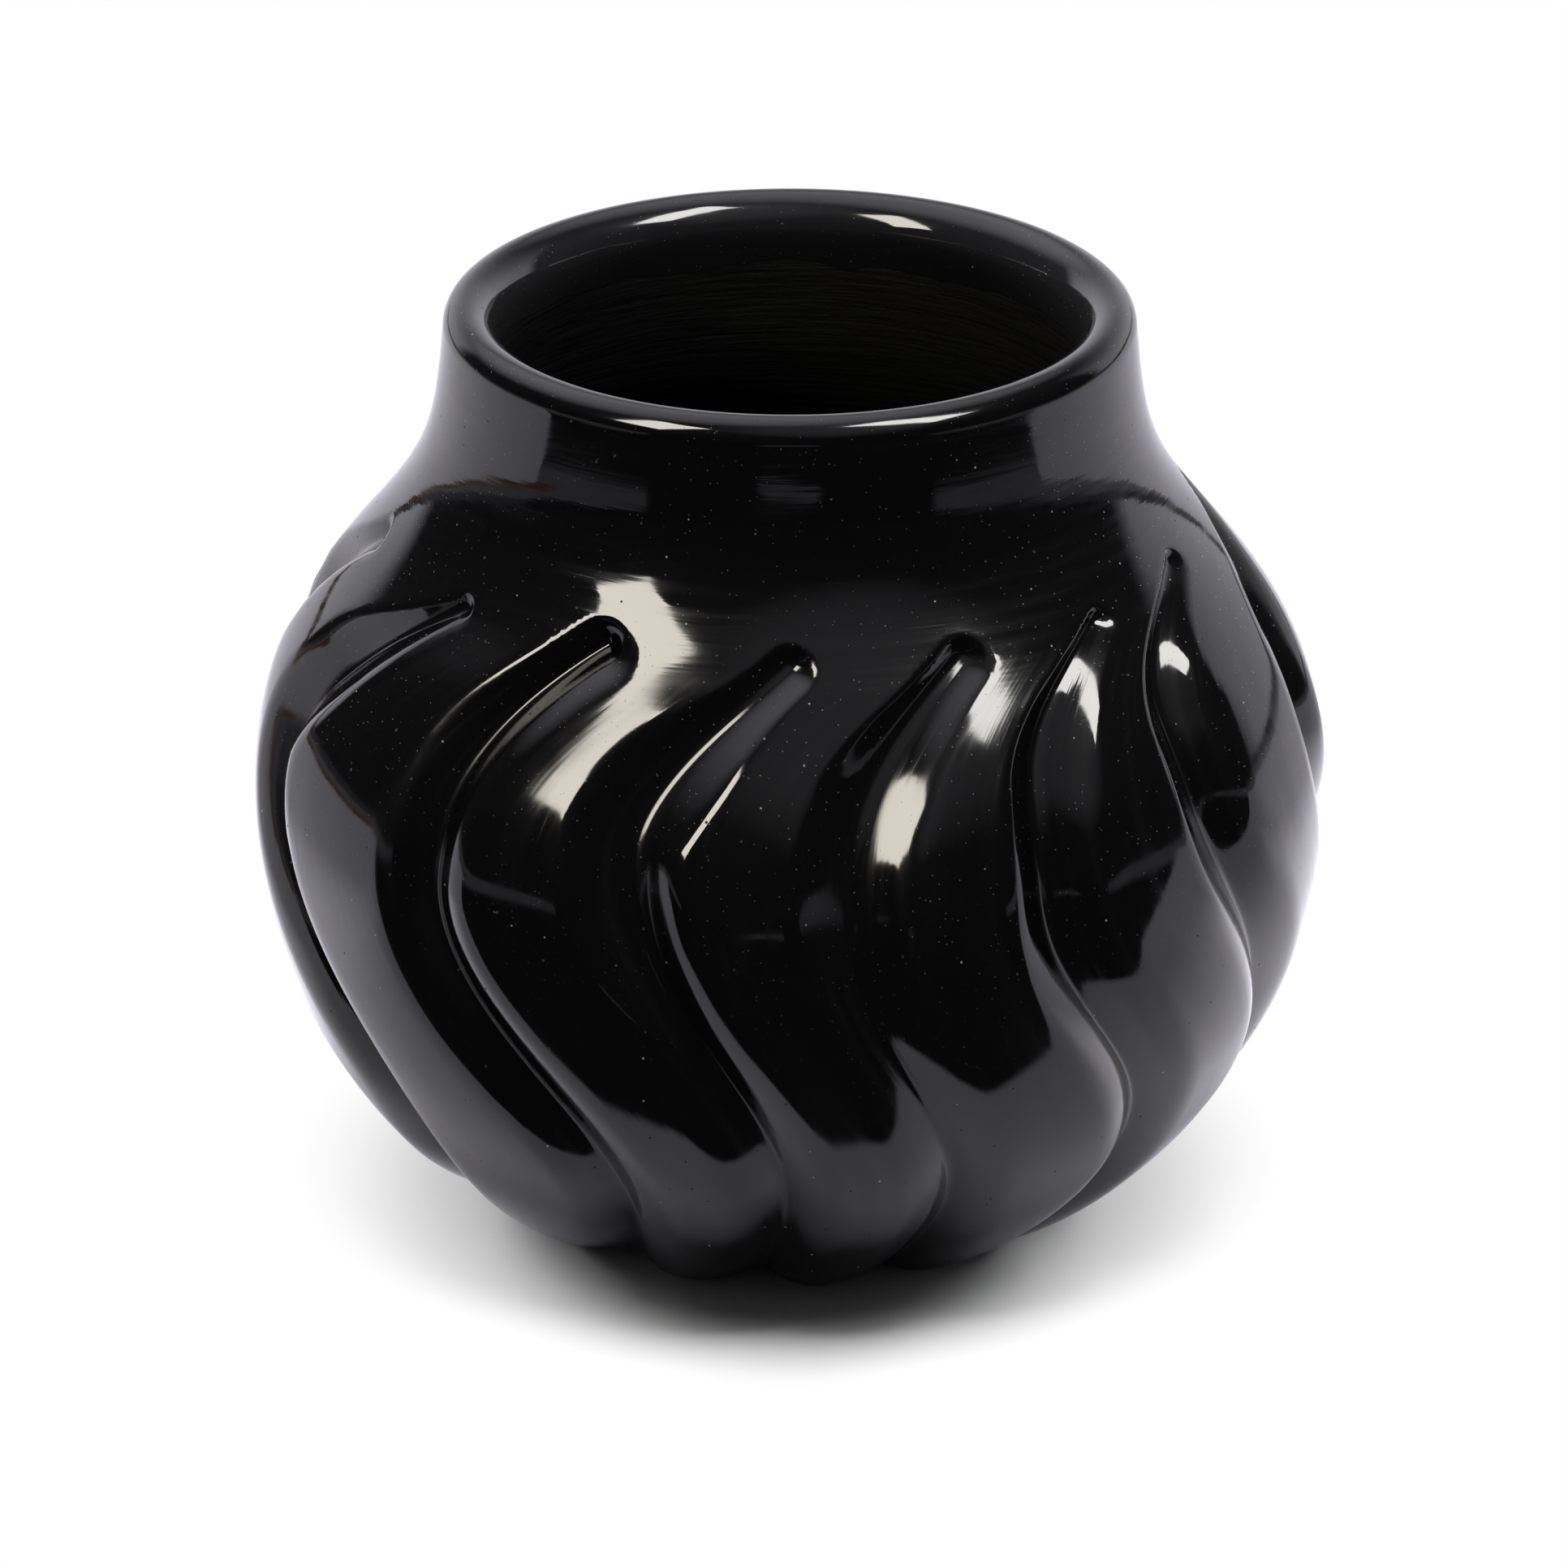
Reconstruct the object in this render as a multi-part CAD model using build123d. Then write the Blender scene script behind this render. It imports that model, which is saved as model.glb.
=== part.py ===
from build123d import *
from math import cos, hypot, pi, radians, sin
import os

# A hand-built, carved and stone-burnished blackware jar. The clay is laid up
# in a fixed order: a base pat, six wall coils, a neck coil and a rim coil.
# Every coil is a ring of its own that meets its neighbours on level faces.
# The flutes are carved through the coils once the wall is up.
# Millimetres, +Z up, origin at the centre of the resting face.

# Overall form
jar_height = 100.7
belly_diameter = 115.0
belly_height = 45.5
foot_diameter = 59.5
neck_diameter = 73.0

# Clay
lip_thickness = 5.1
wall_thickness = 6.0
floor_thickness = 7.0

# Outline below the belly: where its handles stand, between foot and belly
low_out_share = 0.75
low_rise_share = 0.226
low_belly_share = 0.70

# Outline above the belly: where its handles stand, between belly and neck
top_belly_share = 0.50
top_out_shares = (0.10, 0.06)
top_rise_shares = (0.57, 0.72)

# Clay joints, as shares of the jar's height, from the base pat upwards
joint_shares = (0.115, 0.228, 0.341, 0.454, 0.567, 0.680, 0.800, 0.905)
wall_coils = 6

# Flutes: grooves that swing to one side at the belly and back at the foot
flute_depth = 3.0
flute_half_width = 6.2
flute_end_height = 76.0
flute_turn_height = 56.0
shoulder_swing_angle = 20.0
foot_swing_angle = 20.0
foot_swing_share = 0.70
foot_hook_height = 12.0

# The flutes were laid out by eye. Each row is one flute, in order round the jar,
# starting at the front. Its values are:
# where it stands, as a share of a turn;
# how far above the common end height it ends, as a share of its depth;
# the height of its turn, as a share of the common one;
# how far it swings at the shoulder, as a share of the common swing, and how late;
# how far it swings towards the foot, and how far it hooks back at the foot, as
# shares of the common swing;
# how much it leans, so that one wall is wide and the other steep; how soft the
# edge of its right wall is; how hollow its bottom is in the upper half of the jar;
# and how blunt its upper end is, from pointed to round.
flute_shares = (
    (0.0190, -0.10, 0.920, 0.88, 2.90, 0.70, -0.15, 0.4, 0.0, 1.00, 0.35),
    (0.0805, 0.10, 0.950, 0.84, 3.75, 0.96, 0.10, -0.8, 0.9, 0.60, 0.15),
    (0.1445, 0.40, 1.075, 0.63, 3.75, 1.04, 0.20, -0.5, 0.6, 0.60, 0.05),
    (0.2280, 0.20, 1.000, 0.90, 2.40, 1.00, 0.15, 0.2, 0.3, 0.50, 0.50),
    (0.2980, -0.10, 0.960, 0.95, 2.90, 0.95, 0.00, 0.4, 0.2, 0.60, 0.30),
    (0.3670, -0.30, 1.040, 0.90, 2.00, 1.05, 0.20, -0.3, 0.8, 0.40, 0.80),
    (0.4400, 0.10, 0.950, 0.95, 3.00, 0.90, 0.10, 0.6, 0.1, 0.80, 0.40),
    (0.5080, -0.10, 1.020, 0.85, 2.20, 1.00, 0.00, 0.1, 0.5, 0.50, 0.20),
    (0.5780, 0.15, 0.970, 1.00, 2.60, 0.97, 0.20, -0.4, 0.7, 0.50, 0.60),
    (0.6500, 0.00, 1.050, 0.92, 1.90, 1.03, 0.10, 0.5, 0.2, 0.70, 0.90),
    (0.7180, 0.10, 0.980, 0.95, 2.40, 1.00, 0.20, 0.0, 0.6, 0.40, 0.40),
    (0.7910, 0.20, 1.020, 1.14, 1.75, 1.05, 0.20, 0.3, 0.4, 0.30, 0.10),
    (0.8825, 0.20, 0.950, 0.72, 2.80, 1.04, 0.40, -0.3, 1.0, 0.15, 1.00),
    (0.9515, 0.10, 1.065, 0.85, 1.75, 0.84, 0.00, 0.5, 0.0, 1.00, 0.35),
)

# The cut starts narrow and shallow, and is full after this run below its end.
# The shares are for a pointed and for a round upper end.
flute_start_run = 12.0
start_depth_shares = (0.15, 0.75)
start_width_shares = (0.25, 0.68)
# At the foot the cut is shallower again
foot_depth_share = 0.75
# A leaning flute's walls differ in width by this share, from one height to another
lean_width_share = 0.28
lean_low_height = 38.0
lean_full_height = 56.0
# The bottom is a tight crease in the lower half, and a hollow in the upper half
crease_round = 0.35
hollow_round = 2.2
# How a wall runs out at its edge: 1 is straight up to a sharp edge, 2 fades out
low_edge_power = 1.5
crisp_edge_power = 1.15
soft_edge_power = 2.0

# Where the carved wall is measured: up each half of the outline, and round a rib
low_level_shares = (
    0.0, 0.05, 0.10, 0.16, 0.23, 0.31, 0.40, 0.49, 0.58, 0.67, 0.76, 0.85, 0.93, 1.0,
)
top_level_shares = (
    0.07, 0.14, 0.21, 0.27, 0.33, 0.38, 0.42, 0.46, 0.50, 0.54, 0.58, 0.63, 0.68,
)
rib_point_shares = (
    0.0, 0.05, 0.11, 0.18, 0.26, 0.36, 0.50, 0.64, 0.74, 0.82, 0.89, 0.95, 1.0,
)
inner_steps = 12

# The lip is a half round on top of the neck
lip_radius = lip_thickness / 2
lip_height = jar_height - lip_radius
foot_radius = foot_diameter / 2
belly_radius = belly_diameter / 2
neck_radius = neck_diameter / 2
mouth_radius = neck_radius - lip_thickness


def low_handles():
    """The four handles of the outline from the foot to the belly."""
    spread = belly_radius - foot_radius
    return [
        (foot_radius, 0),
        (foot_radius + low_out_share * spread, low_rise_share * belly_height),
        (belly_radius, low_belly_share * belly_height),
        (belly_radius, belly_height),
    ]


def top_handles():
    """The five handles of the outline from the belly to the lip."""
    rise = lip_height - belly_height
    spread = belly_radius - neck_radius
    bends = [
        (neck_radius + out * spread, belly_height + up * rise)
        for out, up in zip(top_out_shares, top_rise_shares)
    ]
    belly_bend = (belly_radius, belly_height + top_belly_share * rise)
    return [(belly_radius, belly_height), belly_bend, *bends, (neck_radius, lip_height)]


def between(a, b, share):
    """The point at a share of the way from a to b."""
    return (a[0] + (b[0] - a[0]) * share, a[1] + (b[1] - a[1]) * share)


def on_outline(handles, share):
    """Radius, height and direction of the outline at a share of a handle curve."""
    while len(handles) > 2:
        handles = [between(a, b, share) for a, b in zip(handles, handles[1:])]
    first, last = handles
    radius, height = between(first, last, share)
    out, up = last[0] - first[0], last[1] - first[1]
    return radius, height, out / hypot(out, up), up / hypot(out, up)


def levels():
    """Radius, height, way up the outline and upright share of it, level by level."""
    marks = [on_outline(low_handles(), share) for share in low_level_shares]
    marks += [on_outline(top_handles(), share) for share in top_level_shares]
    rows, way = [], 0
    for radius, height, out, up in marks:
        if rows:
            way += hypot(radius - rows[-1][0], height - rows[-1][1])
        rows.append((radius, height, way, up))
    return rows


def flute_end(flute):
    """The height at which a flute's line ends on the shoulder."""
    return flute_end_height + flute[1] * flute_depth


def flute_angle(flute, height):
    """The angle round the jar, in degrees, of a flute's line at a height."""
    place, end, turn, shoulder, power, foot, hook = flute[:7]
    turn_height = turn * flute_turn_height
    height = min(height, flute_end(flute))
    if height > turn_height:
        rise = (height - turn_height) / (flute_end_height - turn_height)
        return 360 * place + shoulder * shoulder_swing_angle * rise**power
    drop = (turn_height - height) / turn_height
    swing = foot * foot_swing_angle * (1 - cos(pi * drop / foot_swing_share)) / 2
    near_foot = max(0, 1 - height / foot_hook_height)
    return 360 * place + swing - hook * foot_swing_angle * near_foot**2


def flute_line(flute, rows):
    """A flute's line as its way up the outline and its angle, level by level."""
    end = flute_end(flute)
    line = []
    for lower, upper in zip(rows, rows[1:]):
        line.append((lower[2], flute_angle(flute, lower[1])))
        if upper[1] > end:
            share = (end - lower[1]) / (upper[1] - lower[1])
            way = lower[2] + share * (upper[2] - lower[2])
            line.append((way, flute_angle(flute, end)))
            break
    return line


def distance_to_line(way, angle, radius, line):
    """How far a place is from a flute's line, on which side, and how far below its end."""
    nearest = None
    for (way_a, angle_a), (way_b, angle_b) in zip(line, line[1:]):
        xa, ya = radius * radians(angle_a - angle), way_a - way
        xb, yb = radius * radians(angle_b - angle), way_b - way
        run = hypot(xb - xa, yb - ya)
        share = -(xa * (xb - xa) + ya * (yb - ya)) / run**2
        share = min(1, max(0, share))
        x, y = xa + share * (xb - xa), ya + share * (yb - ya)
        gap = hypot(x, y)
        if nearest is None or gap < nearest[0]:
            side = (x * (yb - ya) - y * (xb - xa)) / (run * gap) if gap else 0
            nearest = (gap, side, line[-1][0] - way_a - share * (way_b - way_a))
    return nearest


def ease(share):
    """A soft step from 0 to 1."""
    share = min(1, max(0, share))
    return share * share * (3 - 2 * share)


def rounded(gap, bend):
    """A distance that starts flat, as across the bottom of a hollow."""
    return hypot(gap, bend) - bend


def grown(start_shares, blunt, full):
    """How much of its full size a cut has, from its start, pointed or round, onwards."""
    pointed, round_ended = start_shares
    start = pointed + blunt * (round_ended - pointed)
    return start + (1 - start) * full


def carved_depth(row, angle, lines):
    """Depth of clay cut away, square to the wall, at a level and an angle."""
    radius, height, way, upright = row
    high = ease((height - lean_low_height) / (lean_full_height - lean_low_height))
    deepest = 0
    for line, flute in lines:
        lean, soft, hollow, blunt = flute[-4:]
        gap, side, below_end = distance_to_line(way, angle, radius, line)
        full = ease(below_end / flute_start_run)
        width = flute_half_width * grown(start_width_shares, blunt, full)
        width *= 1 + lean_width_share * lean * high * side
        depth = flute_depth * grown(start_depth_shares, blunt, full)
        depth *= foot_depth_share + (1 - foot_depth_share) * ease(height / belly_height)
        bend = crease_round + (hollow_round - crease_round) * hollow * high
        inside = max(0, 1 - rounded(gap, bend) / rounded(width, bend))
        edge = crisp_edge_power + (soft_edge_power - crisp_edge_power) * soft * (1 - side) / 2
        power = low_edge_power + (edge - low_edge_power) * high
        deepest = max(deepest, depth * inside**power)
    return deepest


def wall_point(row, angle, lines):
    """A point of the carved wall."""
    radius, height, way, upright = row
    carved = radius - carved_depth(row, angle, lines) / upright
    turn = radians(angle)
    return Vector(carved * sin(turn), -carved * cos(turn), height)


def level_wire(row, lines):
    """The carved wall's outline at one level: one curve from flute to flute."""
    angles = [flute_angle(flute, row[1]) for flute in flute_shares]
    angles.append(angles[0] + 360)
    edges = []
    for number, (start, end) in enumerate(zip(angles, angles[1:])):
        points = [
            wall_point(row, start + share * (end - start), lines[number : number + 2])
            for share in rib_point_shares
        ]
        edges.append(Edge.make_spline(points, parameters=rib_point_shares))
    return Wire(edges)


def carved_body():
    """The full form of the jar up to its smooth neck, with the flutes cut."""
    rows = levels()
    lines = [(flute_line(flute, rows), flute) for flute in flute_shares]
    first_line, first_flute = lines[0]
    lines.append(([(way, angle + 360) for way, angle in first_line], first_flute))
    return Solid.make_loft([level_wire(row, lines) for row in rows], ruled=False)


def section(radius, height):
    """A point of the turned section, given by its radius and height."""
    return Vector(radius, 0, height)


def upper_body():
    """The full form of the shoulder, neck and lip, turned about the axis."""
    outer = Edge.make_bezier(*[section(*handle) for handle in top_handles()])
    lip = Edge.make_three_point_arc(
        section(neck_radius, lip_height),
        section(neck_radius - lip_radius, jar_height),
        section(mouth_radius, lip_height),
    )
    inner = Edge.make_line(section(mouth_radius, lip_height), section(0, lip_height))
    middle = Edge.make_line(section(0, lip_height), section(0, belly_height))
    under = Edge.make_line(section(0, belly_height), section(belly_radius, belly_height))
    return revolve(Face(Wire([outer, lip, inner, middle, under])), Axis.Z, 360)


def inner_points():
    """Points of the inner face, from the lip down to the middle of the floor."""
    points = [section(mouth_radius, lip_height)]
    marks = [(top_handles(), step / inner_steps) for step in range(inner_steps - 1, 0, -1)]
    marks += [(low_handles(), step / inner_steps) for step in range(inner_steps, 0, -1)]
    for handles, share in marks:
        radius, height, out, up = on_outline(handles, share)
        above = ease((lip_height - height) / (lip_height - flute_end_height))
        wall = lip_thickness + (wall_thickness - lip_thickness) * above
        if height + wall * out > floor_thickness + wall_thickness / 2:
            points.append(section(radius - wall * up, height + wall * out))
    points.append(section(foot_radius / 2, floor_thickness + wall_thickness / 12))
    points.append(section(0, floor_thickness))
    return points


def hollow():
    """The space inside the jar, up to the inner edge of the lip."""
    down, inwards = Vector(0, 0, -1), Vector(-1, 0, 0)
    wall = Edge.make_spline(inner_points(), tangents=[down, inwards])
    middle = Edge.make_line(section(0, floor_thickness), section(0, lip_height))
    mouth = Edge.make_line(section(0, lip_height), section(mouth_radius, lip_height))
    return revolve(Face(Wire([wall, middle, mouth])), Axis.Z, 360)


def slab(low, high):
    """A level slice of space, wider than the jar."""
    stand = (Align.CENTER, Align.CENTER, Align.MIN)
    return Pos(0, 0, low) * Cylinder(belly_diameter, high - low, align=stand)


def jar_pieces():
    """Every piece of clay by name, from the base upwards."""
    body, upper, inside = carved_body(), upper_body(), hollow()
    bounds = [0, *[share * jar_height for share in joint_shares], jar_height]
    names = ["base_pat"]
    names += [f"wall_coil_{number}" for number in range(1, wall_coils + 1)]
    names += ["neck_coil", "rim_coil"]
    pieces = {}
    for number, name in enumerate(names):
        form = body if number <= wall_coils else upper
        pieces[name] = (form & slab(bounds[number], bounds[number + 1])) - inside
    return pieces


os.makedirs("parts", exist_ok=True)
for name, piece in jar_pieces().items():
    piece.label = name
    export_step(piece, f"parts/{name}.step")
    print(name, round(piece.volume), piece.bounding_box().size)
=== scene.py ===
from math import comb, cos, pi, radians, sin
from types import SimpleNamespace

import bpy
import numpy as np
from mathutils import Matrix, Vector


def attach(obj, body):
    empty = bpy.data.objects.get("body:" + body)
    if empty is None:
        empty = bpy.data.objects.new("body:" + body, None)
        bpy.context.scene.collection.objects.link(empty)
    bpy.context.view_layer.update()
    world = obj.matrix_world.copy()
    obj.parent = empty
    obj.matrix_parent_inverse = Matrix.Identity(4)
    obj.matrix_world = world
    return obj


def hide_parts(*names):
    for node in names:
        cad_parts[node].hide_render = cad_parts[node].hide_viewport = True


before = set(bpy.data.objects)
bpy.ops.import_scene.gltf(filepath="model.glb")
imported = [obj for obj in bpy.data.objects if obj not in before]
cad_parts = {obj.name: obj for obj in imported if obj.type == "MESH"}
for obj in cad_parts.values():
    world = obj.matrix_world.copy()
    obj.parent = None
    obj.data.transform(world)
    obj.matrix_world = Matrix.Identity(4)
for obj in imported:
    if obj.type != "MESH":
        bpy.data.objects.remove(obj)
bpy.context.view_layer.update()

# A carved and stone-burnished blackware jar. The nine pieces of clay that it is
# laid up from are smeared into one wall, so one closed skin stands for them all.
# Metres, +Z up. Angles run round the jar from its front, towards +X.
mm = 0.001

# The form of the jar
jar_height = 100.7 * mm
belly_radius = 57.5 * mm
belly_height = 45.5 * mm
foot_radius = 29.75 * mm
neck_radius = 36.5 * mm
lip_thickness = 5.1 * mm
wall_thickness = 6.0 * mm
floor_thickness = 7.0 * mm
floor_bend_reach = 11.0 * mm
low_handle_shares = ((0.0, 0.0), (0.75, 0.226), (1.0, 0.70), (1.0, 1.0))
top_handle_shares = ((1.0, 0.0), (1.0, 0.50), (0.10, 0.57), (0.06, 0.72), (0.0, 1.0))

# The lip, which is rolled a little way inwards
lip_radius = lip_thickness / 2
lip_height = jar_height - lip_radius
lip_outer_reach = 2.4 * mm
lip_inner_reach = 3.4 * mm
lip_inner_drop = 4.0 * mm
lip_low_height = jar_height - lip_inner_drop
roll_fade_height = 87.0 * mm

# The flutes. Swings are in degrees, and the two shares of depth and of width at the start
# are those of a pointed start and of a blunt one
flute_depth = 3.0 * mm
flute_half_width = 6.2 * mm
flute_end_height = 76.0 * mm
flute_turn_height = 56.0 * mm
shoulder_swing = 20.0
foot_swing = 20.0
foot_swing_share = 0.70
foot_hook_height = 12.0 * mm
flute_start_run = 15.0 * mm
start_depth_shares = (0.15, 0.75)
start_width_shares = (0.25, 0.68)
foot_depth_share = 0.75
lean_width_share = 0.28
lean_low_height = 38.0 * mm
lean_full_height = 56.0 * mm
crease_round = 0.35 * mm
hollow_round = 2.2 * mm
low_edge_power = 1.5
crisp_edge_power = 1.15
soft_edge_power = 2.0

# Each flute, as shares: its place round the jar, how high it ends and turns, its swing
# on the shoulder and how late that comes, its swing and its hook at the foot, and how far
# it leans, has a soft right edge, is hollow, and starts blunt
flute_shares = (
    (0.0190, -0.05, 0.920, 0.88, 2.90, 0.70, -0.15, 0.4, 0.0, 1.00, 0.55),
    (0.0805, 0.10, 0.950, 0.84, 3.75, 0.96, 0.10, -0.8, 0.9, 0.60, 0.25),
    (0.1445, 0.40, 1.075, 0.63, 3.75, 1.04, 0.20, -0.5, 0.6, 0.60, 0.15),
    (0.2280, 0.20, 1.000, 0.90, 2.40, 1.00, 0.15, 0.2, 0.3, 0.50, 0.50),
    (0.2980, -0.10, 0.960, 0.95, 2.90, 0.95, 0.00, 0.4, 0.2, 0.60, 0.30),
    (0.3670, -0.30, 1.040, 0.90, 2.00, 1.05, 0.20, -0.3, 0.8, 0.40, 0.80),
    (0.4400, 0.10, 0.950, 0.95, 3.00, 0.90, 0.10, 0.6, 0.1, 0.80, 0.40),
    (0.5080, -0.10, 1.020, 0.85, 2.20, 1.00, 0.00, 0.1, 0.5, 0.50, 0.20),
    (0.5780, 0.15, 0.970, 1.00, 2.60, 0.97, 0.20, -0.4, 0.7, 0.50, 0.60),
    (0.6500, 0.00, 1.050, 0.92, 1.90, 1.03, 0.10, 0.5, 0.2, 0.70, 0.90),
    (0.7180, 0.10, 0.980, 0.95, 2.40, 1.00, 0.20, 0.0, 0.6, 0.40, 0.40),
    (0.7910, 0.20, 1.020, 1.14, 1.75, 1.05, 0.20, 0.3, 0.4, 0.30, 0.20),
    (0.8825, 0.20, 0.950, 0.72, 2.80, 1.04, 0.40, -0.3, 1.0, 0.15, 1.00),
    (0.9515, 0.10, 1.065, 0.85, 1.75, 0.84, 0.00, 0.5, 0.0, 0.80, 0.50),
)

# The waviness that the hand leaves. Each wave: how many go round the jar, how many
# radians it gains in a millimetre up the wall, and where it starts
hand_depth = 0.06 * mm
hand_start_height = 2.0 * mm
hand_fade_height = 12.0 * mm
hand_waves = (
    (2, 0.05, 0.4), (3, -0.09, 2.1), (5, 0.13, 4.4), (8, 0.21, 1.2), (11, -0.30, 5.3),
    (17, 0.42, 0.9), (23, -0.50, 3.0),
)

# How finely the skin is laid out: columns for each rib, closer together near the flutes,
# and bands of rows up the wall, each from a height to a height with its row spacing
rib_columns = 30
columns = rib_columns * len(flute_shares)
column_crowding = 0.72
wall_bands = (
    (0.0, 8.0 * mm, 0.55 * mm),
    (8.0 * mm, 66.0 * mm, 0.90 * mm),
    (66.0 * mm, 80.0 * mm, 0.48 * mm),
    (80.0 * mm, lip_height, 1.15 * mm),
)
straighten_height = 82.0 * mm
lip_steps = 20
inside_steps = 34
inside_crowding_power = 1.25
under_shares = (0.0, 0.35, 0.65, 0.85, 0.95)

# How closely lines are followed: the outline, the bend to the floor, the end of the wall
# that gives this bend its slope, and each flute
outline_points = 1500
floor_points = 300
slope_points = 40
flute_points = 90

# The turned form grows from a small square, and its seam closes over this gap
first_square = 1 * mm
seam_gap = 0.02 * mm
points_at_once = 4000

# The streaks of the stone are laid out on a straight tube of this radius
grain_radius = 50 * mm


def ease(share):
    """A soft step from 0 to 1."""
    share = np.clip(share, 0, 1)
    return share * share * (3 - 2 * share)


def handle_curve(handles, share):
    """Points and directions of a handle curve."""
    handles = np.array(handles)
    last = len(handles) - 1
    point = sum(
        comb(last, i) * ((1 - share) ** (last - i) * share**i)[:, None] * handles[i]
        for i in range(last + 1)
    )
    turn = sum(
        comb(last - 1, i) * ((1 - share) ** (last - 1 - i) * share**i)[:, None]
        * (handles[i + 1] - handles[i])
        for i in range(last)
    )
    return point, turn / np.linalg.norm(turn, axis=1)[:, None]


def outline():
    """Radius, height, way up, outward and upward share of the outline, closely spaced."""
    share = np.linspace(0, 1, outline_points)
    low = [
        (foot_radius + out * (belly_radius - foot_radius), up * belly_height)
        for out, up in low_handle_shares
    ]
    top = [
        (neck_radius + out * (belly_radius - neck_radius),
         belly_height + up * (lip_height - belly_height))
        for out, up in top_handle_shares
    ]
    low_points, low_turns = handle_curve(low, share)
    top_points, top_turns = handle_curve(top, share)
    points = np.vstack([low_points, top_points[1:]])
    turns = np.vstack([low_turns, top_turns[1:]])
    steps = np.hypot(*np.diff(points, axis=0).T)
    way = np.concatenate([[0], np.cumsum(steps)])
    return points[:, 0], points[:, 1], way, turns[:, 0], turns[:, 1]


line_radius, line_height, line_way, line_out, line_up = outline()


def wall_rows():
    """Where the rows of the outer wall lie, as ways up the outline."""
    ways = []
    for low, high, step in wall_bands:
        start, end = np.interp((low, high), line_height, line_way)
        count = round((end - start) / step)
        ways.append(np.linspace(start, end, count, endpoint=False))
    return np.concatenate(ways)


def inside_line():
    """Points down the inner face, from the lip to the middle of the floor."""
    down = ease((lip_height - line_height) / (lip_height - flute_end_height))
    wall = lip_thickness + (wall_thickness - lip_thickness) * down
    roll = ease((line_height - roll_fade_height) / (lip_low_height - roll_fade_height))
    wall = wall + (lip_outer_reach + lip_inner_reach - lip_thickness) * roll
    radius = line_radius - wall * line_up
    height = line_height + wall * line_out
    keep = (height > floor_thickness + wall_thickness / 2) & (height < lip_low_height)
    radius, height = radius[keep][::-1], height[keep][::-1]
    slope = (radius[-1] - radius[-slope_points], height[-1] - height[-slope_points])
    reach = floor_bend_reach / np.hypot(*slope)
    bend = (radius[-1] + slope[0] * reach, height[-1] + slope[1] * reach)
    floor = [(radius[-1], height[-1]), bend, (foot_radius / 2, floor_thickness), (0, floor_thickness)]
    end, _ = handle_curve(floor, np.linspace(0, 1, floor_points))
    return np.vstack([np.stack([radius, height], 1), end[1:]])


def section_rows():
    """The whole section from the middle of the underside, up, over and in to the floor."""
    rows = [(share * foot_radius, 0.0) for share in under_shares]
    ways = wall_rows()
    radius, height = (np.interp(ways, line_way, line) for line in (line_radius, line_height))
    rows += list(zip(radius, height))
    for step in range(lip_steps + 1):
        turn = pi * step / lip_steps
        outside = step * 2 <= lip_steps
        reach = lip_outer_reach if outside else lip_inner_reach
        drop = lip_radius if outside else lip_inner_drop
        rows.append((neck_radius - lip_outer_reach + reach * cos(turn),
                     jar_height - drop + drop * sin(turn)))
    inner = inside_line()
    way = np.concatenate([[0], np.cumsum(np.hypot(*np.diff(inner, axis=0).T))])
    marks = np.linspace(0, 1, inside_steps + 1)[1:] ** inside_crowding_power * way[-1]
    rows += [(np.interp(m, way, inner[:, 0]), np.interp(m, way, inner[:, 1])) for m in marks]
    return np.array(rows), len(under_shares), len(ways)


def flute_end(flute):
    """The height at which a flute's line ends on the shoulder."""
    return flute_end_height + flute[1] * flute_depth


def flute_angle(flute, height):
    """The angle, in degrees, of a flute's line at some heights."""
    place, _, turn, shoulder, power, foot, hook = flute[:7]
    turn_height = turn * flute_turn_height
    height = np.minimum(height, flute_end(flute))
    rise = np.clip((height - turn_height) / (flute_end_height - turn_height), 0, None)
    drop = np.clip((turn_height - height) / turn_height, 0, None)
    high = shoulder * shoulder_swing * rise**power
    low = foot * foot_swing * (1 - np.cos(pi * drop / foot_swing_share)) / 2
    near_foot = np.clip(1 - height / foot_hook_height, 0, None)
    return 360 * place + high + low - hook * foot_swing * near_foot**2


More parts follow.
